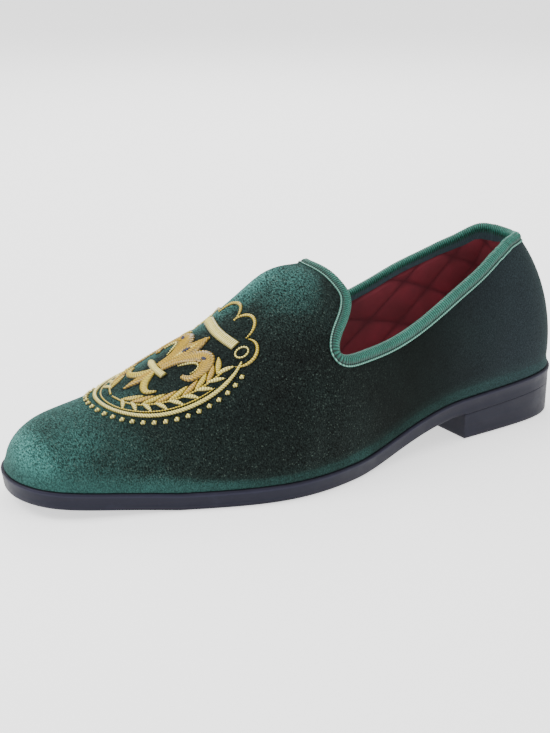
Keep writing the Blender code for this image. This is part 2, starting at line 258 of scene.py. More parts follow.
# Pattern steps that move the skin by one metre in the direction out: least squares in the slopes
def patternSteps(forward, sideways, out):
    ff, ss = np.sum(forward * forward, -1), np.sum(sideways * sideways, -1)
    fs = np.sum(forward * sideways, -1)
    fo, so = np.sum(forward * out, -1), np.sum(sideways * out, -1)
    det = ff * ss - fs * fs
    return np.stack([(fo * ss - so * fs) / det, (so * ff - fo * fs) / det], -1)


# Leaves a closed loop squarely: the normal crossed with the way ahead
def awayFrom(loop):
    forward, sideways, normal = skinSlopes(loop)
    ahead = np.roll(skin(loop), -1, axis=0) - np.roll(skin(loop), 1, axis=0)
    out = np.cross(normal, ahead)
    out /= np.linalg.norm(out, axis=-1, keepdims=True)
    return patternSteps(forward, sideways, out), out, normal


def patternPoint(half, turn, climb):
    along = np.interp(turn, half["turn"], half["along"])
    width = np.interp(turn, half["turn"], half["width"])
    root = rootOf(along)
    flat = 1 - np.asarray(climb, float)
    return np.stack([root + (along - root) * flat, half["sign"] * width * flat], -1)


# The topline at shares of a lap that starts at the back of the heel. Each half is a spline of the
# section's angle and one of the distance from the crest, and both run on into the other half: past
# the heel's back the angle changes its sign, past the middle of the tab the distance does
def plainTopline(lap):
    last = len(topline["foot"]) - 1
    there = np.where(lap <= 0.5, lap, 1 - lap) * 2 * last
    turns = {side: turnOf(topline[side + "Along"]) for side in ("lateral", "medial")}
    flats = {side: 1 - np.array(topline[side + "Climb"]) for side in ("lateral", "medial")}
    knots = np.arange(-last, 2 * last + 1)
    ends = []
    for sign, near, far in ((1, "lateral", "medial"), (-1, "medial", "lateral")):
        angles = np.concatenate([-turns[far][:0:-1], turns[near], turns[far][-2::-1]])
        offsets = np.concatenate([flats[far][:0:-1], flats[near], -flats[far][-2::-1]])
        turn, flat = (naturalSpline(knots, values, there) for values in (angles, offsets))
        ends.append(patternPoint(halves[sign], turn, 1 - flat))
    return np.where((lap <= 0.5)[..., None], ends[0], ends[1])


# A moving average round a closed row of vectors, over a share of it either way
def calm(rows, share):
    reach = int(len(rows) * share)
    weights = np.hanning(2 * reach + 3)[1:-1]
    return sum(np.roll(rows, k - reach, axis=0) * w for k, w in enumerate(weights / weights.sum()))


# Where the heel's fan begins the plain topline bends sharply, so it is eased there on both sides
lapGrid = np.arange(topline["samples"]) / topline["samples"]
plain = plainTopline(lapGrid)
spots = (topline["easeAt"], 1 - topline["easeAt"])
ease = sum(np.exp(-(((lapGrid - spot) / topline["easeWide"]) ** 2)) for spot in spots)[:, None]
eased = plain + ease * (calm(calm(plain, 0.045), 0.03) - plain)


def toplineAt(lap):
    return np.stack([np.interp(lap, lapGrid, c, period=1) for c in eased.T], -1)


# The feather line's matching points for the same shares
def featherAt(lap):
    last = len(topline["foot"]) - 1
    there = np.where(lap <= 0.5, lap, 1 - lap) * 2 * last
    turn = naturalSpline(np.arange(last + 1), turnOf(topline["foot"]), there)
    outer, inner = patternPoint(halves[1], turn, 0 * turn), patternPoint(halves[-1], turn, 0 * turn)
    return np.where((lap <= 0.5)[..., None], outer, inner)


# Hermite curves from the topline to the feather line, square to both
def patternLines(lap, fall):
    top, foot = toplineAt(lap), featherAt(lap)
    leave = calm(awayFrom(top)[0], 0.03) * shoe["leaveTop"]
    root = np.stack([rootOf(foot[:, 0]), np.zeros(len(foot))], -1)
    meet = (foot - root) / np.linalg.norm(foot - root, axis=-1, keepdims=True) * shoe["meetFoot"]
    start = top * (1 - fall) ** 2 * (1 + 2 * fall) + leave * fall * (1 - fall) ** 2
    return start + foot * fall**2 * (3 - 2 * fall) - meet * fall**2 * (1 - fall)


# Laps spaced evenly along the topline itself
def evenLaps(count):
    lap = np.linspace(0, 1, 4001)
    edge = skin(toplineAt(lap))
    run = np.concatenate([[0], np.cumsum(np.linalg.norm(np.diff(edge, axis=0), axis=-1))])
    return np.interp(np.arange(count) / count * run[-1], run, lap), run[-1]


# Quads of a grid that closes round its columns, and round its rows too where it is a ring
def gridQuads(rows, count, ring):
    row, col = np.meshgrid(np.arange(rows if ring else rows - 1), np.arange(count), indexing="ij")
    after, below = (col + 1) % count, (row + 1) % rows
    corners = (row * count + col, below * count + col, below * count + after, row * count + after)
    return np.stack(corners, -1).reshape(-1, 4)


# Puts points and faces into a mesh; a closed body with a negative volume is turned outwards
def addPiece(name, points, faces, material, attributes=None):
    points = np.asarray(points, float).reshape(-1, 3)
    quads = [list(dict.fromkeys(f)) for f in (faces.tolist() if isinstance(faces, np.ndarray) else faces)]
    a, b, c = (points[[q[k] for q in quads]] for k in (0, 1, 2))
    d = points[[q[-1] for q in quads]]
    if np.sum(a * np.cross(b, c)) + np.sum(a * np.cross(c, d)) < 0:
        quads = [q[::-1] for q in quads]
    mesh = bpy.data.meshes.new(name)
    mesh.from_pydata(points.tolist(), [], quads)
    mesh.polygons.foreach_set("use_smooth", np.ones(len(quads), bool))
    for key, values in (attributes or {}).items():
        layer = mesh.attributes.new(key, "FLOAT", "POINT")
        layer.data.foreach_set("value", np.asarray(values, np.float32).ravel())
    mesh.materials.append(material)
    piece = bpy.data.objects.new(name, mesh)
    bpy.context.scene.collection.objects.link(piece)
    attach(piece, "root")
    print(name, len(mesh.vertices), "points")
    return piece


# A colour code as linear light
def linear(code):
    parts = [int(code[i : i + 2], 16) / 255 for i in (1, 3, 5)]
    return tuple(p / 12.92 if p <= 0.04045 else ((p + 0.055) / 1.055) ** 2.4 for p in parts) + (1.0,)


# Links an input to another node's socket, or sets its value
def feed(tree, socket, value):
    if isinstance(value, bpy.types.NodeSocket):
        tree.links.new(value, socket)
    else:
        socket.default_value = value


# Adds a node; a key that names one of its properties sets it, any other key feeds an input
def addNode(tree, kind, **settings):
    made = tree.nodes.new(kind)
    inputs = {}
    for key, value in settings.items():
        if hasattr(made, key):
            setattr(made, key, value)
        else:
            inputs[key] = value
    for key, value in inputs.items():
        numbered = key.startswith("in") and key[2:].isdigit()
        feed(tree, made.inputs[int(key[2:]) if numbered else key.replace("_", " ")], value)
    return made


def newMaterial(name):
    material = bpy.data.materials.new(name)
    material.use_nodes = True
    tree = material.node_tree
    place3d = addNode(tree, "ShaderNodeTexCoord").outputs["Object"]
    return material, tree, tree.nodes["Principled BSDF"], place3d


def setShader(tree, shader, values):
    for key, value in values.items():
        feed(tree, shader.inputs[key], value)


def mixed(tree, factor, first, second, blend="MIX"):
    made = addNode(
        tree, "ShaderNodeMix", data_type="RGBA", blend_type=blend, in0=factor, in6=first, in7=second
    )
    return made.outputs[2]


# Noise turns from light to dark in half a unit, so this is its scale for patches of a given size
def patch(millimetres):
    return 500 / millimetres


print("frame and last ready")

velvet = {
    "around": 440,
    "rows": 92,
    "innerRows": 32,
    "thickness": 0.0012,
    "footSwell": 0.0011,
    # deep and body are the dyed pile; bright is the painted sheen where it is strongest
    "deep": "#0C0F0E",
    "body": "#151F1D",
    "bright": "#447A74",
    "dusk": "#3D4852",
    "fleck": "#A9C4B4",
    "sheenTint": "#9FC4B8",
    # real pile is finer than 0.1 mm and its glints are single hairs: both are drawn this coarse to show
    "pileMillimetres": 0.26,
    "fleckMillimetres": 0.50,
    # the pile stands in rows across the shoe, so its grain is longer that way
    "pileRows": (0.42, 1.0, 0.75),
    "brushMillimetres": 12.5,
    # painted sheen: the light the nap throws back in each place, and everywhere, painted into the colour
    "nap": {
        "toe": 0.36, "tip": 0.84, "ridge": 0.84, "inner": 0.26, "throat": 0.34,
        "foot": 0.31, "footFore": 0.14, "wander": 0.03, "rest": 0.06,
    },
    # soft troughs and ridges: along, across, long, wide, turn in degrees, height
    "creases": [
        (0.158, 0.046, 0.024, 0.0050, 62, -0.0007),
        (0.170, 0.050, 0.022, 0.0045, 66, 0.0005),
        (0.184, 0.050, 0.024, 0.0050, 58, -0.0006),
        (0.150, -0.020, 0.020, 0.0045, -58, -0.0006),
        (0.163, -0.024, 0.022, 0.0045, -62, 0.0004),
        (0.178, -0.030, 0.024, 0.0050, -60, -0.0005),
        (0.110, 0.036, 0.030, 0.0060, 12, -0.0004),
        (0.062, 0.030, 0.016, 0.0050, 35, -0.0004),
        (0.262, 0.012, 0.016, 0.0050, 20, -0.0003),
        (0.246, 0.030, 0.020, 0.0060, -25, -0.0004),
    ],
}


# Each crease is a long bell: a Gaussian along it times a Gaussian across it, times its height
def creaseHeight(points):
    along, across = shoe["length"] / 2 - points[..., 1], points[..., 0] + middle
    total = np.zeros(along.shape)
    for a, x, long, wide, turn, height in velvet["creases"]:
        c, s = math.cos(math.radians(turn)), math.sin(math.radians(turn))
        u, v = (along - a) * c + (across - x) * s, -(along - a) * s + (across - x) * c
        total += height * np.exp(-((u / long) ** 2) - (v / wide) ** 2)
    return total


# The strip above the feather line, where the wall curves down on to the sole: there the painted sheen takes
# its own value and the painted glints fade
def footBand(along, fall):
    return smooth(fall, 0.83 - 0.05 * smooth(along, 0.20, 0.27), 0.94)


# How much sheen the lie of the nap throws back, painted into the colour: strong over the toe and the
# vamp's ridge, less inside the badge where the hoop pressed the pile flat, a little along the feather
# line, next to none on the flank. Metres along from the heel's back, off the vamp's top line and up
def napLight(points, fall):
    nap = velvet["nap"]
    along, across, up = shoe["length"] / 2 - points[..., 1], points[..., 0] + middle, points[..., 2]
    off = across - shoe["ballWidth"] * np.interp(along / shoe["length"], sections["along"], sections["side"])
    toe = nap["toe"] * smooth(along, 0.180, 0.275) * (1 - 0.25 * smooth(off, 0.010, 0.045))
    tip = nap["tip"] * smooth(along, 0.266, 0.294)
    ridge = nap["ridge"] * np.exp(-(((off + 0.014) / 0.024) ** 2)) * (1 - 0.45 * smooth(-off, 0.024, 0.044))
    ridge = ridge * smooth(along, 0.122, 0.170) * (1 - 0.50 * smooth(along, 0.19, 0.26))
    hoop = ((along - shoe["badgeAlong"]) / 0.040) ** 2 + ((across - shoe["badgeAcross"]) / 0.030) ** 2
    ridge = ridge * (1 - 0.62 * np.exp(-(hoop**2)))
    inner = nap["inner"] * smooth(-off, 0.020, 0.034) * smooth(along, 0.09, 0.25)
    throat = nap["throat"] * smooth(up, 0.058, 0.090) * smooth(along, 0.125, 0.150)
    wander = nap["wander"] * np.sin(along * 95 + across * 60) * np.sin(across * 130 - up * 70 + 1.3)
    above = np.maximum.reduce([toe, tip, ridge, inner, throat]) + wander + nap["rest"]
    foot = nap["foot"] + nap["footFore"] * smooth(along, 0.17, 0.25)
    band = footBand(along, fall)
    return np.clip(above * (1 - band) + foot * band, 0, 1)


# Pile grain and painted glints, strong on the vamp and toe and faint along the feather line
def grainAndGlintsOf(points, fall):
    along = shoe["length"] / 2 - points[..., 1]
    plain = 0.06 + 0.64 * smooth(along, 0.095, 0.150) + 0.30 * np.exp(-(((along - 0.160) / 0.022) ** 2))
    return plain * (1 - 0.85 * footBand(along, fall))


# The cooler, greyer light round the counter
def dusk(points):
    return 1 - smooth(shoe["length"] / 2 - points[..., 1], 0.020, 0.105)


# Cotton velvet, dyed near-black green: the pile swallows light head on and glows at its edges
def velvetMaterial():
    material, tree, shader, place3d = newMaterial("cottonVelvet")
    nap, sparkle, cool = (
        addNode(tree, "ShaderNodeAttribute", attribute_name=name).outputs["Fac"]
        for name in ("nap", "sparkle", "cool")
    )
    brushed = addNode(
        tree, "ShaderNodeTexNoise", Vector=place3d, Scale=patch(velvet["brushMillimetres"]),
        Detail=3.0, Roughness=0.55,
    )
    rows = addNode(tree, "ShaderNodeMapping", Vector=place3d, Scale=velvet["pileRows"])
    pile = addNode(
        tree, "ShaderNodeTexNoise", Vector=rows.outputs[0], Scale=patch(velvet["pileMillimetres"]),
        Detail=2.0, Roughness=0.7,
    )
    speck = addNode(tree, "ShaderNodeTexVoronoi", Vector=place3d, Scale=1000 / velvet["fleckMillimetres"])
    lift = addNode(
        tree, "ShaderNodeMath", operation="MULTIPLY_ADD", in0=brushed.outputs[0], in1=0.22, in2=-0.11
    )
    amount = addNode(tree, "ShaderNodeMath", operation="ADD", use_clamp=True, in0=nap, in1=lift.outputs[0])
    # painted sheen: the ramp turns the sheen attribute into the base colour, from deep through body to bright
    ramp = addNode(tree, "ShaderNodeValToRGB", in0=amount.outputs[0])
    ramp.color_ramp.elements[0].color = linear(velvet["deep"])
    ramp.color_ramp.elements[1].color = linear(velvet["bright"])
    between = ramp.color_ramp.elements.new(0.25)
    between.color = linear(velvet["body"])
    coolShare = addNode(tree, "ShaderNodeMath", operation="MULTIPLY", in0=cool, in1=0.22)
    shaded = mixed(tree, coolShare.outputs[0], ramp.outputs[0], linear(velvet["dusk"]))
    tips = addNode(tree, "ShaderNodeMapRange", in0=pile.outputs[0], in1=0.38, in2=0.67, in3=0.0, in4=3.3)
    pileShare = addNode(tree, "ShaderNodeMapRange", in0=sparkle, in1=0.0, in2=1.0, in3=0.25, in4=1.0)
    grained = mixed(tree, pileShare.outputs[0], shaded, mixed(tree, 1.0, shaded, tips.outputs[0], "MULTIPLY"))
    bright = speck.outputs["Color"]
    # painted glints: random cells of the pile lit pale green, more where the painted sheen is strong
    glint = addNode(tree, "ShaderNodeMapRange", in0=bright, in1=0.80, in2=1.0, in3=0.0, in4=0.26)
    share = amount.outputs[0]
    reach = addNode(tree, "ShaderNodeMath", operation="MULTIPLY_ADD", in0=share, in1=1.4, in2=0.40)
    fade = addNode(tree, "ShaderNodeMath", operation="MULTIPLY", in0=glint.outputs[0], in1=reach.outputs[0])
    shown = addNode(tree, "ShaderNodeMath", operation="MULTIPLY", in0=fade.outputs[0], in1=sparkle)
    colour = mixed(tree, shown.outputs[0], grained, linear(velvet["fleck"]))
    bump = addNode(tree, "ShaderNodeBump", Height=pile.outputs[0], Strength=0.5, Distance=0.0004)
    setShader(tree, shader, {
        "Base Color": colour, "Normal": bump.outputs[0], "Roughness": 0.95, "Specular IOR Level": 0.12,
        "Sheen Weight": 0.10, "Sheen Roughness": 0.45, "Sheen Tint": linear(velvet["sheenTint"]),
    })
    return material


# Rows down the pattern lines, closer at the foot of the toe, then back up inside them, so the cloth
# is one closed body. The outside is the skin plus its creases, swelled level at the feather line and
# let down on to the sole; the inside is the skin less the thickness, with no creases
def buildVelvet():
    lap = np.arange(velvet["around"]) / velvet["around"]
    fall = np.linspace(0, 1, velvet["rows"])[:, None, None]
    crowd = 1 + 0.9 * smooth(np.abs(featherAt(lap)[:, :1]), 0.15, 0.29)
    fall = 1 - (1 - fall) ** crowd
    flat = patternLines(lap, fall)
    normal = skinSlopes(flat)[2]
    bare = skin(flat)
    outer = bare + normal * (creaseHeight(bare)[..., None] * (1 - smooth(fall, 0.78, 0.95)))
    outer = outer + normal * [1, 1, 0] * (velvet["footSwell"] * smooth(fall, 0.90, 0.99))
    seat = underside(shoe["length"] / 2 - outer[-1, :, 1]) + shoe["soleEdge"] + shoe["gap"]
    outer[..., 2] -= (outer[-1, :, 2] - seat) * smooth(fall[..., 0], 0.72, 1.0)
    pick = np.linspace(velvet["rows"] - 1, 0, velvet["innerRows"]).astype(int)
    inner = bare[pick] - normal[pick] * velvet["thickness"]
    inner[0, :, 2] = np.maximum(inner[0, :, 2], outer[-1, :, 2])
    points = np.vstack([outer, inner])
    falls = np.vstack([fall, fall[pick]])[..., 0]
    faces = gridQuads(len(points), velvet["around"], True)
    looks = {"nap": napLight(points, falls), "sparkle": grainAndGlintsOf(points, falls), "cool": dusk(points)}
    piece = addPiece("velvetUpper", points, faces, velvetMaterial(), looks)
    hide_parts("upper")


buildVelvet()

lining = {
    "around": 440,
    "rows": 84,
    "backRows": 28,
    "depth": 0.0021,
    "puff": 0.0010,
    "diamond": 0.023,
    "backDepth": 0.0014,
    "satin": "#A04A56",
    "shade": "#4E2A33",
    "cloud": "#704046",
    "sheenTint": "#E8A0A8",
    "cloudMillimetres": 11.11,
    "weaveMillimetres": 0.3125,
}


# Crimson satin: long floats of yarn, so it is smooth and glossy with soft streaks
def satinMaterial():
    material, tree, shader, place3d = newMaterial("crimsonSatin")
    stitch = addNode(tree, "ShaderNodeAttribute", attribute_name="puff").outputs["Fac"]
    scales = patch(lining["cloudMillimetres"]), patch(lining["weaveMillimetres"])
    cloud = addNode(tree, "ShaderNodeTexNoise", Vector=place3d, Scale=scales[0], Detail=3.0)
    weave = addNode(tree, "ShaderNodeTexNoise", Vector=place3d, Scale=scales[1], Detail=2.0)
    # painted shade: the satin goes towards the shade colour in the quilting lines, where the puff is low
    tone = addNode(tree, "ShaderNodeMapRange", in0=stitch, in1=0.0, in2=0.5, in3=0.15, in4=1.0)
    base = mixed(tree, tone.outputs[0], linear(lining["shade"]), linear(lining["satin"]))
    share = addNode(tree, "ShaderNodeMapRange", in0=cloud.outputs[0], in1=0.35, in2=0.65, in3=0.0, in4=0.6)
    worn = mixed(tree, share.outputs[0], base, linear(lining["cloud"]))
    bump = addNode(tree, "ShaderNodeBump", Height=weave.outputs[0], Strength=0.25, Distance=0.0002)
    setShader(tree, shader, {
        "Base Color": worn, "Normal": bump.outputs[0], "Roughness": 0.34, "Specular IOR Level": 0.55,
        "Sheen Weight": 0.25, "Sheen Roughness": 0.5, "Sheen Tint": linear(lining["sheenTint"]),
    })
    return material


satin = satinMaterial()


# Diamond quilting: two families of slanting lines a set distance apart; between them the satin
# puffs up as a product of two rounded waves
def quilt(first, second, size):
    a, b = (first + second) / size, (first - second) / size
    return np.sqrt(np.abs(np.sin(math.pi * a) * np.sin(math.pi * b)))


# The satin lies inside the velvet by its depth plus the puff of the quilting, and its back less deep
def buildLining():
    lap, edge = evenLaps(lining["around"])
    fall = np.linspace(0, 1, lining["rows"])[:, None, None]
    flat = patternLines(lap, 1 - (1 - fall) ** 1.3)
    outer = skin(flat)
    normal = skinSlopes(flat)[2]
    down = np.cumsum(np.linalg.norm(np.diff(outer, axis=0, prepend=outer[:1]), axis=-1), 0)
    run = np.broadcast_to(lap * edge, down.shape)
    puff = quilt(run, down, lining["diamond"]) * smooth(down, 0.004, 0.008)
    face = outer - normal * (lining["depth"] + lining["puff"] * puff[..., None])
    floor = underside(shoe["length"] / 2 - face[-1, :, 1]) + shoe["soleEdge"] + shoe["gap"]
    face[-1, :, 2] = np.maximum(face[-1, :, 2], floor)
    pick = np.linspace(lining["rows"] - 1, 0, lining["backRows"]).astype(int)
    back = outer[pick] - normal[pick] * lining["backDepth"]
    back[0, :, 2] = np.maximum(back[0, :, 2], floor)
    points = np.vstack([face, back])
    faces = gridQuads(len(points), lining["around"], True)
    # the puff attribute carries the painted shade of the quilting lines
    addPiece("quiltedLining", points, faces, satin, {"puff": np.vstack([puff, 0 * puff[pick]])})


buildLining()

ribbon = {
    "ribs": 350,
    "samplesPerRib": 6,
    "outside": 0.0049,
    "inside": 0.0052,
    "insideAtHeel": 0.0090,
    "stand": 0.00068,
    "ribHeight": 0.00026,
    "beadHeight": 0.00022,
    "grooveDepth": 0.00030,
    # where the ends meet, as a share of a lap, and how far the upper end stands over the lower one
    "join": 0.975,
    "joinHeight": 0.00022,
    "mid": "#35806F",
    "high": "#98D0BD",
    # painted shade between the ribs
    "ribGapShade": "#020A08",
    "band": "#4E6C74",
    "sheenTint": "#A6DCCB",
    "fibreMillimetres": 0.4545,
    "cloudMillimetres": 8.333,
}


# Grosgrain ribbon: a rayon rib across a fine warp, so it shines along each rib; the dark between the ribs is
# painted shade
def grosgrainMaterial():
    material, tree, shader, place3d = newMaterial("grosgrainRibbon")
    rib, bead, band = (
        addNode(tree, "ShaderNodeAttribute", attribute_name=name).outputs["Fac"]
        for name in ("rib", "bead", "band")
    )
    scales = patch(ribbon["fibreMillimetres"]), patch(ribbon["cloudMillimetres"])
    fibre = addNode(tree, "ShaderNodeTexNoise", Vector=place3d, Scale=scales[0], Detail=3.0)
    cloud = addNode(tree, "ShaderNodeTexNoise", Vector=place3d, Scale=scales[1], Detail=2.0)
    # painted shade: the rib attribute mixes in the near-black between the ribs and in the groove
    ribbed = mixed(tree, rib, linear(ribbon["ribGapShade"]), linear(ribbon["mid"]))
    flecked = addNode(tree, "ShaderNodeMapRange", in0=fibre.outputs[0], in1=0.35, in2=0.7, in3=0.7, in4=1.35)
    threads = mixed(tree, 1.0, ribbed, flecked.outputs[0], "MULTIPLY")
    clouded = addNode(tree, "ShaderNodeMapRange", in0=cloud.outputs[0], in1=0.3, in2=0.7, in3=0.85, in4=1.15)
    varied = mixed(tree, 1.0, threads, clouded.outputs[0], "MULTIPLY")
    plain = mixed(tree, band, varied, linear(ribbon["band"]))
    edged = mixed(tree, bead, plain, linear(ribbon["high"]))
    bump = addNode(tree, "ShaderNodeBump", Height=fibre.outputs[0], Strength=0.4, Distance=0.0002)
    setShader(tree, shader, {
        "Base Color": edged, "Normal": bump.outputs[0], "Roughness": 0.5, "Specular IOR Level": 0.35,
        "Sheen Weight": 0.15, "Sheen Roughness": 0.4, "Sheen Tint": linear(ribbon["sheenTint"]),
    })
    return material


# A U-shaped profile carried along the topline: a flat beaded selvedge low on the outside, a groove,
# a soft roll up and over the rim on a half circle, and a flat band down the inside. Ribs are a
# rounded wave along the run
def buildRibbon():
    count = ribbon["ribs"] * ribbon["samplesPerRib"]
    lap, _ = evenLaps(count)
    top = toplineAt(lap)
    steps, down, normal = awayFrom(top)
    steps = calm(steps, 0.006)
    phase = 2 * math.pi * np.arange(count) / ribbon["samplesPerRib"]
    wave = (0.5 + 0.5 * np.cos(phase)) ** 0.8
    beads = 0.5 + 0.5 * np.cos(phase + 1.0)
    join = smooth(lap, ribbon["join"] - 0.001, ribbon["join"]) * ribbon["joinHeight"]
    wall, gap = shoe["wall"], shoe["gap"]
    rim = skin(top) - normal * wall / 2 + down * 0.0008
    radius = wall / 2 + ribbon["stand"]
    atHeel = 1 - smooth(np.minimum(lap, 1 - lap), 0.02, 0.16)
    inside = ribbon["inside"] + (ribbon["insideAtHeel"] - ribbon["inside"]) * atHeel
    rows, ribShade, beadShade, bandShade = [], [], [], []

    def addRow(base, out, bead, groove, band=0, shade=1):
        height = ribbon["ribHeight"] * wave * (1 - 0.8 * max(bead, band))
        height = height + ribbon["beadHeight"] * bead * (0.35 + 0.65 * beads)
        rows.append(base + out * (height - ribbon["grooveDepth"] * groove + join)[:, None])
        # painted shade: dark between the ribs, in the groove and across the middle of the outside
        ribShade.append(np.clip((0.05 + 0.95 * wave) * (1 - groove) * shade, 0, 1))
        bandShade.append(np.full(count, band))
        beadShade.append(np.clip(bead * (0.2 + 0.8 * beads), 0, 1))

    for share in (0, 0.03, 0.07, 0.12, 0.17, 0.21, 0.25, 0.30, 0.38, 0.48, 0.60, 0.73, 0.87):
        spot = top + steps * ribbon["outside"] * (1 - share)
        out = skinSlopes(spot)[2]
        rise = ribbon["stand"] * math.sin(math.pi / 2 * smooth(share, 0.2, 0.7))
        lift = 0.0001 + 0.0002 * smooth(share, 0, 0.05) + rise
        bead = math.exp(-(((share - 0.09) / 0.055) ** 2))
        groove = math.exp(-(((share - 0.25) / 0.060) ** 2))
        # painted shade across the middle of the outside face, below the roll's top
        shade = 1 - 0.5 * math.exp(-(((share - 0.40) / 0.16) ** 2))
        addRow(skin(spot) + out * lift, out, bead, groove, shade=shade)
    for angle in np.linspace(0, math.pi, 9):
        out = normal * math.cos(angle) - down * math.sin(angle)
        addRow(rim + out * radius, out, 0, 0)
    for share in (0.72, 0.5, 0.32, 0.22, 0.14, 0.08, 0.04, 0):
        spot = top + steps * (inside * (1 - share))[:, None]
        out = -skinSlopes(spot)[2]
        lift = wall + gap * 0.5 + 0.0004 * smooth(share, 0, 0.06) + 0.0003 * smooth(share, 0.4, 1)
        addRow(skin(spot) + out * lift, out, 0, 0, band=0.92 * smooth(1 - share, 0.2, 0.45))
    under = []
    for depth, side, share in ((wall, -1, 0.0), (wall, -1, 0.9), (0, 1, 0.9), (0, 1, 0.0)):
        reach = inside if side < 0 else np.full(count, ribbon["outside"])
        spot = top + steps * (reach * (1 - share))[:, None]
        out = skinSlopes(spot)[2]
        under.append(skin(spot) - out * depth + out * side * gap * 0.3)
    points = np.array(rows + under)
    dark = np.zeros((len(under), count))
    faces = gridQuads(len(points), count, True)
    shades = {"rib": ribShade, "bead": beadShade, "band": bandShade}
    looks = {name: np.vstack([shade, dark]) for name, shade in shades.items()}
    piece = addPiece("grosgrainBinding", points, faces, grosgrainMaterial(), looks)
    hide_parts("topline_binding")


buildRibbon()

sole = {
    "steps": 260,
    "colour": "#17181E",
    # a lighter grey painted as a highlight on the rounded top of the edge
    "lipHighlight": "#272733",
    "dust": "#3A3A4A",
    "streak": "#211D20",
    "waxTint": "#C6C8EE",
    # sizes of the patches of grime and grit, and of the buffing streaks along, across and up
    "grimeMillimetres": 5.5556,
    "gritMillimetres": 0.33333,
    "streakMillimetres": (35.714, 35.714, 0.71429),
    # rings of the channel under the sole: how far in and how deep
    "channel": [(0.0068, 0), (0.0058, 0), (0.0055, 0.0005), (0.0050, 0.0005), (0.0047, 0)],
    # rings up the edge: how far in, and the height as a share of the edge
    "rings": [
        (0.0021, 0.0), (0.0015, 0.015), (0.00115, 0.06), (0.00100, 0.15), (0.00082, 0.30), (0.00062, 0.45),
        (0.00044, 0.58), (0.00028, 0.68), (0.00012, 0.77), (0.00002, 0.84), (0.0, 0.88), (0.00008, 0.92),
        (0.00028, 0.96), (0.00064, 0.99), (0.0012, 1.0), (0.0022, 1.0),
    ],
    # behind the heel's breast the lower rings stand this far in, flush with the heel
    "flush": 0.00060,
}


# Nitrile rubber with a waxed edge: dark, half glossy, streaked along its length where it was buffed
def rubberMaterial(name, dusty):
    material, tree, shader, place3d = newMaterial(name)
    rim = addNode(tree, "ShaderNodeAttribute", attribute_name="rim").outputs["Fac"]
    stretch = tuple(patch(size) for size in sole["streakMillimetres"])
    scales = patch(sole["grimeMillimetres"]), patch(sole["gritMillimetres"])
    drawn = addNode(tree, "ShaderNodeMapping", Vector=place3d, Scale=stretch).outputs[0]
    streak = addNode(tree, "ShaderNodeTexNoise", Vector=drawn, Scale=1.0, Detail=3.0, Roughness=0.6)
    grime = addNode(tree, "ShaderNodeTexNoise", Vector=place3d, Scale=scales[0], Detail=5.0, Roughness=0.65)
    grit = addNode(tree, "ShaderNodeTexNoise", Vector=place3d, Scale=scales[1], Detail=3.0)
    # painted highlight: the rim attribute lightens the rounded top of the edge
    base = mixed(tree, rim, linear(sole["colour"]), linear(sole["lipHighlight"]))
    buffed = addNode(tree, "ShaderNodeMapRange", in0=streak.outputs[0], in1=0.4, in2=0.65, in3=0.0, in4=0.35)
    warm = mixed(tree, buffed.outputs[0], base, linear(sole["streak"]))
    scuff = addNode(tree, "ShaderNodeMapRange", in0=grime.outputs[0], in1=0.52, in2=0.8, in3=0.0, in4=dusty)
    worn = mixed(tree, scuff.outputs[0], warm, linear(sole["dust"]))
    rough = addNode(tree, "ShaderNodeMapRange", in0=grime.outputs[0], in1=0.3, in2=0.7, in3=0.42, in4=0.60)
    bump = addNode(tree, "ShaderNodeBump", Height=grit.outputs[0], Strength=0.15, Distance=0.0002)
    setShader(tree, shader, {
        "Base Color": worn, "Normal": bump.outputs[0], "Roughness": rough.outputs[0],
        "Specular IOR Level": 0.24, "IOR": 1.52, "Specular Tint": linear(sole["waxTint"]),
    })
    return material


# The sole's outline, so far in from its edge: down the outer side and back up the inner one
def outlineLoop(inset, steps):
    keep = np.linspace(0, shoe["samples"], steps + 1).astype(int)
    outer = np.stack(halfOutline(1, inset), -1)[keep]
    inner = np.stack(halfOutline(-1, inset), -1)[keep]
    return np.vstack([outer, inner[-2:0:-1]])


# Rungs across a loop from one side to the other
def ladderFaces(first, count):
    half = count // 2
    left = first + np.arange(half + 1)
    right = first + (count - np.arange(half + 1)) % count
    return [tuple(f) for f in np.stack([left[:-1], left[1:], right[1:], right[:-1]], -1).tolist()]


# From the sewn channel let into the underside out to the edge and up it, closed across by rungs
def buildSole():
    rows, rim = [], []
    for inset, depth in sole["channel"]:
        loop = outlineLoop(inset, sole["steps"])
        rows.append(place(loop[:, 0], loop[:, 1], underside(loop[:, 0]) + depth))
        rim.append(0)
    flush = outlineLoop(sole["flush"], sole["steps"])
    for inset, share in sole["rings"]:
        loop = outlineLoop(inset, sole["steps"])
        behind = (1 - smooth(loop[:, :1], 0.068, 0.078)) * (1 - smooth(share, 0.4, 0.6))
        loop = loop + (flush - loop) * behind
        rows.append(place(loop[:, 0], loop[:, 1], underside(loop[:, 0]) + share * shoe["soleEdge"]))
        # painted highlight on the rounded top of the edge, where it faces up to the lamps
        rim.append(0.8 * smooth(share, 0.76, 0.84) * (1 - smooth(share, 0.97, 1)))
    count = len(rows[0])
    faces = gridQuads(len(rows), count, False).tolist()
    faces += ladderFaces(0, count)
    faces += [f[::-1] for f in ladderFaces((len(rows) - 1) * count, count)]
    looks = {"rim": np.repeat(rim, count)}
    rubber = rubberMaterial("nitrileSole", 0.25)
    piece = addPiece("rubberOutsole", np.vstack(rows), faces, rubber, looks)
    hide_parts("outsole")


buildSole()

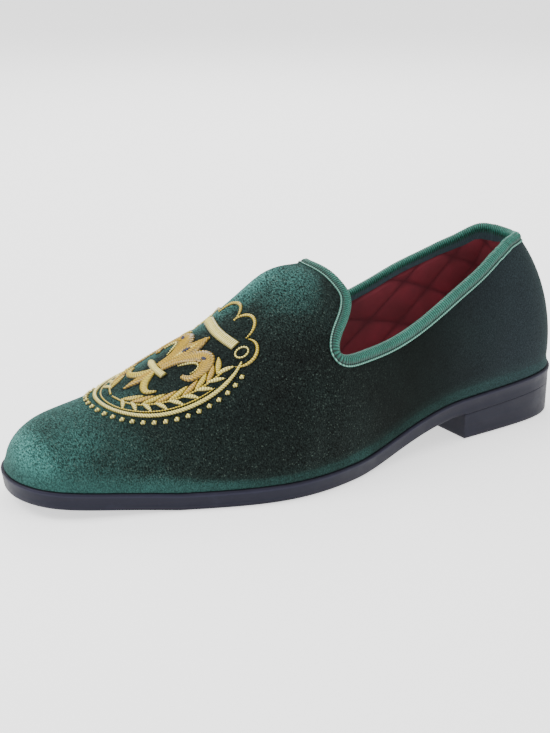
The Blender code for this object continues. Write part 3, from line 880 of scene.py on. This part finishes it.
heel = {
    "turn": 2.5,
    "sideSteps": 60,
    "breastSteps": 40,
    # rings up the block: how far in from the sole's outline, and the height as a share of the block
    "rings": [
        (0.0022, 0.0), (0.0014, 0.012), (0.00105, 0.05), (0.0010, 0.12), (0.00092, 0.30), (0.00084, 0.50),
        (0.00076, 0.70), (0.00068, 0.88), (0.00064, 0.96), (0.00066, 0.985), (0.00080, 1.0),
    ],
}


# The heel's outline: both sides of the sole's as far as the breast, which runs straight across
def heelLoop(inset):
    outermost = np.interp(shoe["heelBreast"], *halfOutline(1, inset))
    tilt = math.tan(math.radians(heel["turn"]))
    share = 1 - np.cos(np.linspace(0, math.pi / 2, heel["sideSteps"]))
    sides = []
    for sign in (1, -1):
        along, across = halfOutline(sign, inset)
        lean = (outermost - np.interp(shoe["heelBreast"], along, across)) * tilt
        stops = along[0] + (shoe["heelBreast"] - inset + lean - along[0]) * share
        sides.append(np.stack([stops, np.interp(stops, along, across)], -1))
    breast = np.linspace(sides[0][-1], sides[1][-1], heel["breastSteps"])[1:-1]
    return np.vstack([sides[0], breast, sides[1][:0:-1]])


def buildHeel():
    rows = []
    for inset, share in heel["rings"]:
        loop = heelLoop(inset)
        top = shoe["heelHeight"] + shoe["heelPitch"] * (1 - loop[:, 0] / shoe["heelBreast"]) - shoe["gap"] / 3
        rows.append(place(loop[:, 0], loop[:, 1], top * share))
    count = len(rows[0])
    faces = gridQuads(len(rows), count, False).tolist()
    faces += [list(range(count)), list(range(len(rows) * count - 1, (len(rows) - 1) * count - 1, -1))]
    points = np.vstack(rows)
    rubber = rubberMaterial("heelRubber", 0.3)
    piece = addPiece("stackedHeel", points, faces, rubber, {"rim": np.zeros(len(points))})
    piece.data.set_sharp_from_angle(angle=math.radians(35))
    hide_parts("heel")


buildHeel()

insole = {
    "thickness": 0.0030,
    "fit": 0.0012,
    "steps": 150,
    "across": 36,
    "edgeRound": 0.0016,
    "seamIn": 0.0042,
    "seamDepth": 0.0005,
}


# A thin pad: straight across between its two edges, crowned a little, with a sewn line near the edge
def buildInsole():
    inset = shoe["lip"] + shoe["wall"] + insole["fit"]
    half = insole["steps"]
    outer = outlineLoop(inset, half)
    left = outer[: half + 1]
    right = np.vstack([outer[:1], outer[: half - 1 : -1]])
    share = (1 - np.cos(np.linspace(0, math.pi, insole["across"]))) / 2
    grid = left[:, None] * (1 - share[:, None]) + right[:, None] * share[:, None]
    wide = np.abs(left[:, 1] - right[:, 1])
    tip = np.minimum(grid[..., 0] - outer[:, 0].min(), outer[:, 0].max() - grid[..., 0])
    edge = np.minimum(np.minimum(share, 1 - share) * wide[:, None], tip)
    crown = np.sqrt(np.clip(edge / insole["edgeRound"], 0, 1)) * 0.75 + 0.25 * smooth(edge, 0, 0.020)
    seam = np.exp(-(((edge - insole["seamIn"]) / 0.0006) ** 2))
    base = underside(grid[..., 0]) + shoe["soleEdge"] + shoe["gap"]
    thick = insole["thickness"] * (0.25 + 0.75 * crown) - insole["seamDepth"] * seam
    points = [place(grid[..., 0], grid[..., 1], up).reshape(-1, 3) for up in (base + thick, base)]
    n, m = grid.shape[:2]
    index = np.arange(n * m).reshape(n, m)
    quads = np.stack([index[:-1, :-1], index[:-1, 1:], index[1:, 1:], index[1:, :-1]], -1).reshape(-1, 4)
    faces = quads.tolist() + (quads[:, ::-1] + n * m).tolist()
    for side in (0, m - 1):
        near, far = index[:-1, side], index[1:, side]
        rim = np.stack([near, far, far + n * m, near + n * m], -1)
        faces += (rim if side == 0 else rim[:, ::-1]).tolist()
    # painted shade: the pad is toned towards the satin's shade colour, and darker still along the sewn line
    shade = np.concatenate([(1 - 0.9 * seam).ravel(), np.ones(n * m)]) * 0.35
    piece = addPiece("sockLining", np.vstack(points), faces, satin, {"puff": shade})
    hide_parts("insole")


buildInsole()

embroidery = {
    "turn": 7.0,
    "size": 0.0384,
    "narrow": 0.80,
    "lift": 0.00075,
    "pitch": 0.00130,
    "twistMillimetres": 0.22727,
    "gold": "#DCC02A",
    "paleGold": "#F8E878",
    "tan": "#C69E14",
    "navy": "#0E1238",
    # strokes, in shares of the badge's size: thread, on both sides or only on one, corners of the
    # spine, half widths along it, slant of the stitches, lift, points across and points along
    "strokes": [
        ("gold", 2, [(0.04, -0.82), (0.42, -0.70), (0.70, -0.38), (0.80, 0.02), (0.74, 0.40)],
         [0.01302], 0.3, 0.9, 5, 50),
        ("tan", 2, [(0.06, -0.16), (0.11, 0.10), (0.29, 0.32), (0.50, 0.27), (0.57, 0.06), (0.45, -0.03)],
         [0.04, 0.06, 0.10, 0.115, 0.09, 0.06, 0.03], 0.7, 1.3, 9, 28),
        ("paleGold", 2, [(0.20, 0.02), (0.34, 0.20), (0.46, 0.18), (0.48, 0.07)],
         [0.00521, 0.01302, 0.01562, 0.01302, 0.00521], 0.3, 1.7, 5, 28),
        ("gold", 2, [(0.03, -0.24), (0.12, -0.40), (0.32, -0.48), (0.44, -0.38)],
         [0.03, 0.06, 0.055, 0.04, 0.015], 0.5, 1.3, 7, 28),
        ("navy", 2, [(0.30, 0.30), (0.44, 0.33)], [0.01, 0.045, 0.01], 0.2, 1.75, 5, 4),
        ("tan", 1, [(0, -0.16), (0, 0.19), (0, 0.55)],
         [0.04, 0.06, 0.11, 0.135, 0.12, 0.07, 0.01], 0.9, 1.5, 11, 28),
        ("paleGold", 1, [(0, 0.00), (0, 0.50)], [0.01, 0.022, 0.022, 0.016, 0.004], 0.4, 2.1, 5, 4),
        ("tan", 1, [(0, -0.24), (0, -0.66)], [0.04, 0.075, 0.07, 0.04, 0.01], 0.6, 1.3, 7, 4),
        ("paleGold", 1, [(-0.24, -0.19), (0, -0.21), (0.24, -0.19)], [0.05], 0.2, 1.9, 7, 28),
        ("paleGold", 1, [(-0.46, 0.71), (0, 0.66), (0.46, 0.71)], [0.070], 0.2, 1.3, 9, 20),
        ("navy", 1, [(0, 0.14), (0, 0.30)], [0.01, 0.045, 0.01], 0.4, 2.2, 5, 4),
    ],
}


# Rayon embroidery thread: trilobal fibre, so it gleams in short streaks along each stitch
def threadMaterial(name, colour):
    material, tree, shader, place3d = newMaterial(name)
    strand = addNode(tree, "ShaderNodeAttribute", attribute_name="strand").outputs["Fac"]
    scale = patch(embroidery["twistMillimetres"])
    twist = addNode(tree, "ShaderNodeTexNoise", Vector=place3d, Scale=scale, Detail=2.0)
    # painted shade and highlight: dark between the strands and at the bars' edges, up to half again brighter
    # along each strand
    shade = addNode(tree, "ShaderNodeMapRange", in0=strand, in1=0.0, in2=1.0, in3=0.02, in4=1.5)
    thread = mixed(tree, 1.0, linear(colour), shade.outputs[0], "MULTIPLY")
    bump = addNode(tree, "ShaderNodeBump", Height=twist.outputs[0], Strength=0.3, Distance=0.0001)
    setShader(tree, shader, {
        "Base Color": thread, "Normal": bump.outputs[0], "Roughness": 0.32, "Specular IOR Level": 0.7,
    })
    return material


# The badge is drawn flat, in metres, with its top towards the throat, and laid on the vamp by
# Newton steps: the pattern point whose place in the badge's own plane is the one drawn
def layOnVamp(drawn):
    drawn = np.asarray(drawn, float)
    centre = np.array([[shoe["badgeAlong"], shoe["badgeAcross"]]])
    origin = skin(centre)[0]
    forward, _, normal = (v[0] for v in skinSlopes(centre))
    up = -forward - normal * np.dot(-forward, normal)
    up /= np.linalg.norm(up)
    right = np.cross(up, normal)
    c, s = math.cos(math.radians(embroidery["turn"])), math.sin(math.radians(embroidery["turn"]))
    up, right = up * c + right * s, right * c - up * s
    points = np.broadcast_to(centre[0], drawn.shape).copy()
    for _ in range(12):
        slopes = skinSlopes(points)
        here = skin(points) - origin
        missing = drawn - np.stack([here @ right, here @ up], -1)
        a, b = slopes[0] @ right, slopes[1] @ right
        d, e = slopes[0] @ up, slopes[1] @ up
        across, along = missing[..., 0], missing[..., 1]
        move = np.stack([across * e - along * b, along * a - across * d], -1) / (a * e - b * d)[..., None]
        points = points + np.clip(move, -0.006, 0.006)
    ground, normal = skin(points), skinSlopes(points)[2]
    return ground + normal * creaseHeight(ground)[..., None], normal


# A satin-stitched bar: a grid along its spine and across it, domed, with the threads as a rounded
# wave that runs along it and slants across
def satinBar(spine, halfWidth, slant=0.5, lift=1.0, sides=7):
    spine = np.asarray(spine, float)
    run = np.concatenate([[0], np.cumsum(np.hypot(*np.diff(spine, axis=0).T))])
    n = max(6, int(run[-1] / embroidery["pitch"] * 4))
    at = np.linspace(0, 1, n)
    spine = np.stack([np.interp(at * run[-1], run, spine[:, k]) for k in (0, 1)], -1)
    ahead = np.gradient(spine, axis=0)
    ahead /= np.maximum(np.linalg.norm(ahead, axis=1, keepdims=True), 1e-9)
    side = np.stack([-ahead[:, 1], ahead[:, 0]], -1)
    stitch = at * run[-1] / embroidery["pitch"]
    ragged = 1 + 0.07 * np.sin(2 * math.pi * stitch)
    width = np.interp(at, np.linspace(0, 1, len(halfWidth)), halfWidth) * ragged
    v = np.linspace(-1, 1, sides)
    flat = spine[:, None] * (embroidery["narrow"], 1) + side[:, None] * (v * width[:, None])[..., None]
    phase = stitch[:, None] + np.abs(v) * slant * width[:, None] / embroidery["pitch"]
    strand = 0.5 + 0.5 * np.cos(2 * math.pi * phase)
    dome = np.sqrt(np.clip(1 - 0.92 * v**2, 0, 1)) * np.sqrt(np.clip(width / 0.0012, 0.15, 1))[:, None]
    height = lift * embroidery["lift"] * (dome * 1.1 + 0.4 * strand * dome)
    # the third value paints shade and highlight: dark between the threads and at the bar's edges, bright
    # along their crests
    return flat, height, (0.10 + 0.90 * strand**1.4) * (1 - 0.9 * v**4)


# Joins the bars of one colour into one body: domed above, one strip wide below, closed round
def sewColour(name, bars, colour):
    ground, normal = layOnVamp(np.vstack([flat.reshape(-1, 2) for flat, _, _ in bars]))
    points, faces, strands, first, used = [], [], [], 0, 0
    for _, height, strand in bars:
        n, m = strand.shape
        here, out = (rows[used : used + n * m].reshape(n, m, 3) for rows in (ground, normal))
        used += n * m
        lower = (here - out * 0.0002)[:, [0, -1]]
        points += [(here + out * height[..., None]).reshape(-1, 3), lower.reshape(-1, 3)]
        index = first + np.arange(n * m).reshape(n, m)
        below = first + n * m + np.arange(2 * n).reshape(n, 2)
        ring = np.concatenate([index, below[:, ::-1]], 1)
        after = np.roll(ring, -1, axis=1)
        faces += np.stack([ring[:-1], after[:-1], after[1:], ring[1:]], -1).reshape(-1, 4).tolist()
        faces += [ring[0, ::-1].tolist(), ring[-1].tolist()]
        strands += [strand.ravel(), np.zeros(2 * n)]
        first += n * (m + 2)
    material = threadMaterial(name + "Thread", colour)
    return addPiece(name, np.vstack(points), faces, material, {"strand": np.concatenate(strands)})


# Points on a circular arc of the badge, in degrees clockwise from straight up
def arc(radius, start, end, count=24):
    angle = np.radians(np.linspace(start, end, count))
    return np.stack([radius * np.sin(angle), radius * np.cos(angle)], -1)


# A laurel leaf: a bar along a bent spine, widest in the middle
def leaf(root, heading, length, wide, bend):
    t = np.linspace(0, 1, 12)
    angle = np.radians(heading + bend * t)
    step = np.stack([np.sin(angle), np.cos(angle)], -1) * length / 11
    spine = np.asarray(root, float) + np.concatenate([[[0, 0]], np.cumsum(step[1:], axis=0)])
    return satinBar(spine, wide * np.sin(np.pi * np.clip(t * 0.94 + 0.05, 0, 1)) ** 0.8)


# A round knot: a short bar as wide as it is long
def knot(spot, radius):
    spot = np.asarray(spot, float)
    ends = [spot - (0, radius), spot + (0, radius)]
    return satinBar(ends, radius * np.array([0.35, 0.8, 1.0, 0.8, 0.35]), 0.2, 1.5, 5)


# A smooth curve through a few points, in shares of the badge's size, on the side given
def sweep(corners, side, count):
    corners = np.asarray(corners, float) * (side, 1)
    at = np.linspace(0, len(corners) - 1, count)
    curve = [naturalSpline(np.arange(len(corners)), values, at) for values in corners.T]
    return embroidery["size"] * np.stack(curve, -1)


# A traditional device: a rope ring with a row of knots round its lower part and a scalloped top,
# and in it two laurel sprays below a fleur-de-lis and a plain bar
def buildBadge():
    r = embroidery["size"]
    gold, pale, tan, navy = [], [], [], []
    for turn in 180 + 7.0 * np.arange(-17, 18):
        pale.append(knot(arc(r * 1.11, turn, turn, 1)[0], 0.00115))
    pale.append(satinBar(arc(r, 50, 310, 140), [0.0005] + [0.00095] * 12 + [0.0005], 1.3, 1.5, 7))
    gold.append(satinBar(arc(r * 0.93, 78, 282, 120), [0.0002] + [0.0004] * 12 + [0.0002], 0.4, 0.9, 5))
    for side in (1, -1):
        for across, up, radius, start, end in ((0.62, 0.70, 0.22, 132, -34), (0.22, 0.86, 0.235, 88, -78)):
            bump = arc(r * radius, start * side, end * side, 30) + (side * across * r, up * r)
            gold.append(satinBar(bump, [0.0003, 0.0008, 0.0009, 0.0008, 0.0003], 0.6, 1.2, 5))
        eye = arc(r * 0.085, 0, 360, 20) + (side * 0.62 * r, 0.72 * r)
        pale.append(satinBar(eye, [0.0005], 0.3, 1.0, 5))
        for k, turn in enumerate(np.linspace(164, 66, 9)):
            root = arc(r * 0.79, turn * side, turn * side, 1)[0]
            ahead = (turn - 90) * side
            pale.append(leaf(root, ahead + 20 * side, r * 0.23, r * 0.030, 26 * side))
            (tan if k % 2 else gold).append(leaf(root, ahead - 26 * side, r * 0.30, r * 0.040, -20 * side))
    bars = {"gold": gold, "paleGold": pale, "tan": tan, "navy": navy}
    for thread, sides, corners, widths, slant, lift, across, count in embroidery["strokes"]:
        for side in (1, -1)[:sides]:
            spine = sweep(corners, side, count)
            bars[thread].append(satinBar(spine, r * np.array(widths), slant, lift, across))
    for thread, sewn in bars.items():
        sewColour("badge" + thread[0].upper() + thread[1:], sewn, embroidery[thread])


buildBadge()

studio = {
    "azimuth": 59.53,
    "elevation": 18.83,
    "roll": -0.02,
    "focal": 1627.2,
    "target": (-0.10887, 0.05018, 0.0016),
    "distance": 0.9005,
    "frame": 733,
    "sensor": 36,
    "floorHalf": 14,
    "paper": "#FAFAFA",
    "paperGlow": 1.15,
    "sky": 0.85,
    # place, size in metres, watts
    "lights": {
        "keyLight": ((-0.25, -0.80, 1.0), 0.8, 12),
        "rimLight": ((-0.9, 0.5, 0.8), 0.7, 8),
        "topLight": ((0.15, 0.05, 1.3), 0.9, 4),
    },
}


# A lit white paper floor, a white sky and three soft lamps
def buildStudio():
    half = studio["floorHalf"]
    points = [(x * half, y * half, -0.0002) for x, y in ((-1, -1), (1, -1), (1, 1), (-1, 1))]
    mesh = bpy.data.meshes.new("studioFloor")
    mesh.from_pydata(points, [], [(0, 1, 2, 3)])
    material, tree, shader, place3d = newMaterial("whitePaper")
    cloud = addNode(tree, "ShaderNodeTexNoise", Vector=place3d, Scale=3.0, Detail=2.0)
    tint = mixed(tree, cloud.outputs[0], linear(studio["paper"]), linear("#FFFFFF"))
    setShader(tree, shader, {
        "Base Color": tint, "Roughness": 0.9, "Emission Color": (1, 1, 1, 1),
        "Emission Strength": studio["paperGlow"],
    })
    mesh.materials.append(material)
    floor = bpy.data.objects.new("studioFloor", mesh)
    bpy.context.scene.collection.objects.link(floor)

    world = bpy.data.worlds.new("studio")
    bpy.context.scene.world = world
    world.use_nodes = True
    world.node_tree.nodes["Background"].inputs[0].default_value = (1, 1, 1, 1)
    world.node_tree.nodes["Background"].inputs[1].default_value = studio["sky"]

    for name, (spot, size, power) in studio["lights"].items():
        data = bpy.data.lights.new(name, "AREA")
        data.shape, data.size, data.energy = "DISK", size, power
        light = bpy.data.objects.new(name, data)
        light.location = spot
        light.rotation_euler = (Vector(spot) - Vector((0, 0, 0.04))).to_track_quat("Z", "Y").to_euler()
        bpy.context.scene.collection.objects.link(light)


buildStudio()


# The camera stands back along azimuth and elevation; its lens is the focal length, given in pixels
# of the frame, brought to the sensor's millimetres
def addCamera():
    a, e = math.radians(studio["azimuth"]), math.radians(studio["elevation"])
    back = Vector((math.sin(a) * math.cos(e), -math.cos(a) * math.cos(e), math.sin(e)))
    data = bpy.data.cameras.new("camera")
    data.sensor_width = studio["sensor"]
    data.lens = studio["focal"] * studio["sensor"] / studio["frame"]
    data.clip_start = 0.01
    camera = bpy.data.objects.new("camera", data)
    camera.location = Vector(studio["target"]) + back * studio["distance"]
    turn = back.to_track_quat("Z", "Y").to_matrix() @ Matrix.Rotation(math.radians(studio["roll"]), 3, "Z")
    camera.rotation_euler = turn.to_euler()
    bpy.context.scene.collection.objects.link(camera)
    bpy.context.scene.camera = camera


addCamera()
print("camera and lights ready")
